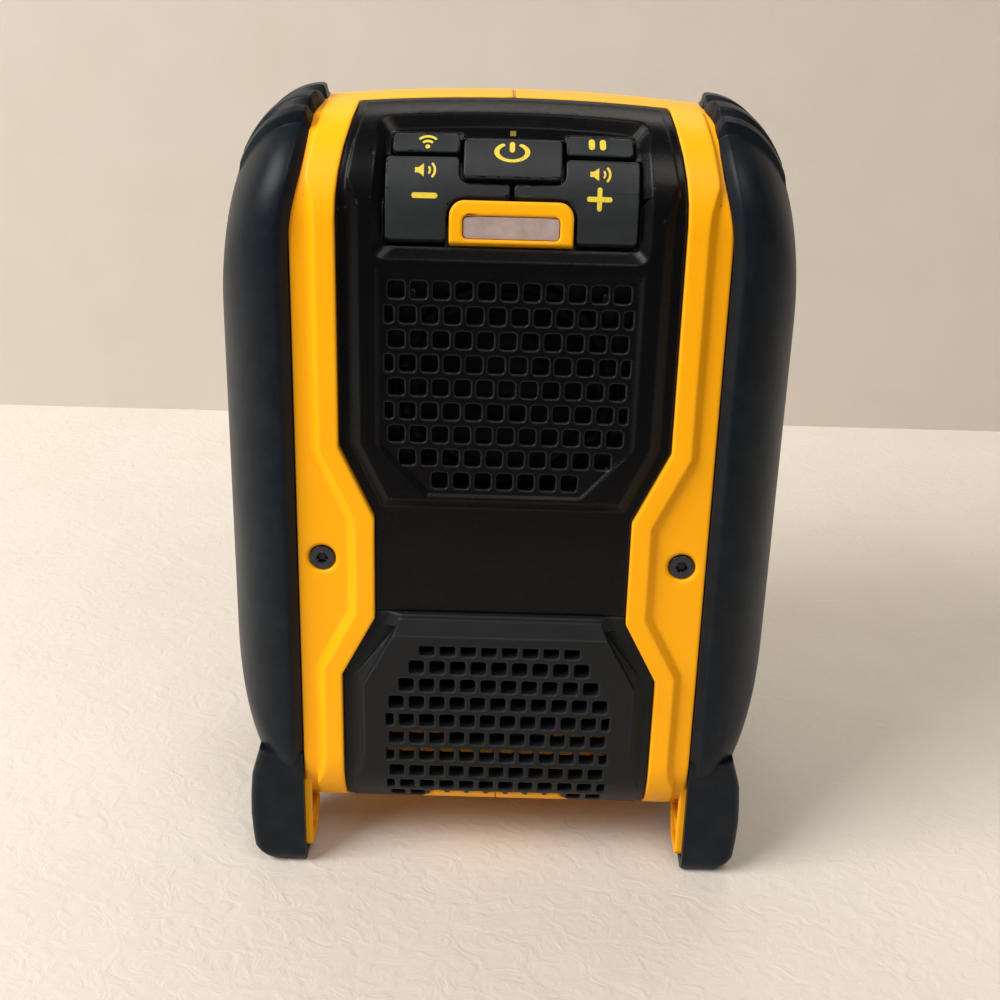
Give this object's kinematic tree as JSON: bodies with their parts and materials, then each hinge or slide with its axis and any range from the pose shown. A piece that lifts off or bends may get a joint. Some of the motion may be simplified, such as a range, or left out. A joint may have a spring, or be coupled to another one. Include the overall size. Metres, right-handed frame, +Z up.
{
  "type": "wireless jobsite speaker",
  "caption": "Rugged upright speaker with a waisted front of perforated grilles and sealed keys, soft side bumpers that run down into feet, and a slide-in battery bay.",
  "frame": {"origin": "on the table under the middle of the bounding box", "axes": "+X to the right seen from the front, +Y to the rear, +Z up"},
  "size_m": [0.142, 0.1272, 0.2055],
  "materials": {
    "yellow_abs": "satin",
    "soft_tpe": "soft matte",
    "key_rubber": "matte",
    "black_abs": "semi-gloss",
    "frosted_lens": "frosted",
    "circuit_board": "satin",
    "gold_contact": "plated",
    "led_resin": "clear",
    "zinc_screw": "zinc plated",
    "black_screw": "black oxide",
    "foam_gasket": "foam",
    "pressed_steel": "plated",
    "rubber_roll": "matte",
    "cone_paper": "matte",
    "coil_copper": "enamelled",
    "spider_cloth": "resin-stiffened cloth",
    "ferrite": "sintered",
    "component_resin": "moulded"
  },
  "bodies": {
    "housing": {"left_side_shell": "yellow_abs", "right_side_shell": "yellow_abs", "left_bumper": "soft_tpe", "right_bumper": "soft_tpe", "front_panel": "black_abs", "lower_grille": "black_abs", "rear_panel": "black_abs", "indicator_bezel": "yellow_abs", "indicator_lens": "frosted_lens", "control_board": "circuit_board", "contact_pads": "gold_contact", "status_leds": "led_resin", "board_screws": "zinc_screw", "speaker_baffle": "black_abs", "speaker_gasket": "foam_gasket", "speaker_frame": "pressed_steel", "cone_surround": "rubber_roll", "spider": "spider_cloth", "top_plate": "pressed_steel", "speaker_magnet": "ferrite", "pole_yoke": "pressed_steel", "speaker_screws": "zinc_screw", "bass_port": "black_abs", "terminal_block": "black_abs", "battery_terminals": "gold_contact", "main_board": "circuit_board", "board_components": "component_resin", "main_board_screws": "zinc_screw", "aux_jack": "black_abs", "power_inlet": "black_abs", "cheek_screws": "black_screw", "rear_screws": "black_screw"},
    "pairing_key": {"pairing_button": "key_rubber"},
    "power_key": {"power_button": "key_rubber"},
    "pause_key": {"pause_button": "key_rubber"},
    "volume_down_key": {"volume_down_button": "key_rubber"},
    "volume_up_key": {"volume_up_button": "key_rubber"},
    "cone": {"speaker_cone": "cone_paper", "dust_cap": "cone_paper", "voice_coil": "coil_copper"},
    "cover": {"port_cover": "soft_tpe"}
  },
  "joints": [
    {"name": "pairing_press", "type": "slide", "parent": "housing", "child": "pairing_key", "axis": [0, 0.866, -0.5], "range_m": [0, 0.0009], "stiffness_N_per_m": 1500},
    {"name": "power_press", "type": "slide", "parent": "housing", "child": "power_key", "axis": [0, 0.866, -0.5], "range_m": [0, 0.0009], "stiffness_N_per_m": 1500},
    {"name": "pause_press", "type": "slide", "parent": "housing", "child": "pause_key", "axis": [0, 0.866, -0.5], "range_m": [0, 0.0009], "stiffness_N_per_m": 1500},
    {"name": "volume_down_press", "type": "slide", "parent": "housing", "child": "volume_down_key", "axis": [0, 0.866, -0.5], "range_m": [0, 0.0009], "stiffness_N_per_m": 1500},
    {"name": "volume_up_press", "type": "slide", "parent": "housing", "child": "volume_up_key", "axis": [0, 0.866, -0.5], "range_m": [0, 0.0009], "stiffness_N_per_m": 1500},
    {"name": "cone_stroke", "type": "slide", "parent": "housing", "child": "cone", "axis": [0, -1, 0], "range_m": [-0.0015, 0.0015], "stiffness_N_per_m": 900, "deforming": ["cone_surround", "spider"]},
    {"name": "port_cover_hinge", "type": "hinge", "parent": "housing", "child": "cover", "pos_m": [-0.008, 0.06072, 0.03695], "axis": [-1, 0, 0], "range_deg": [0, 100]}
  ]
}
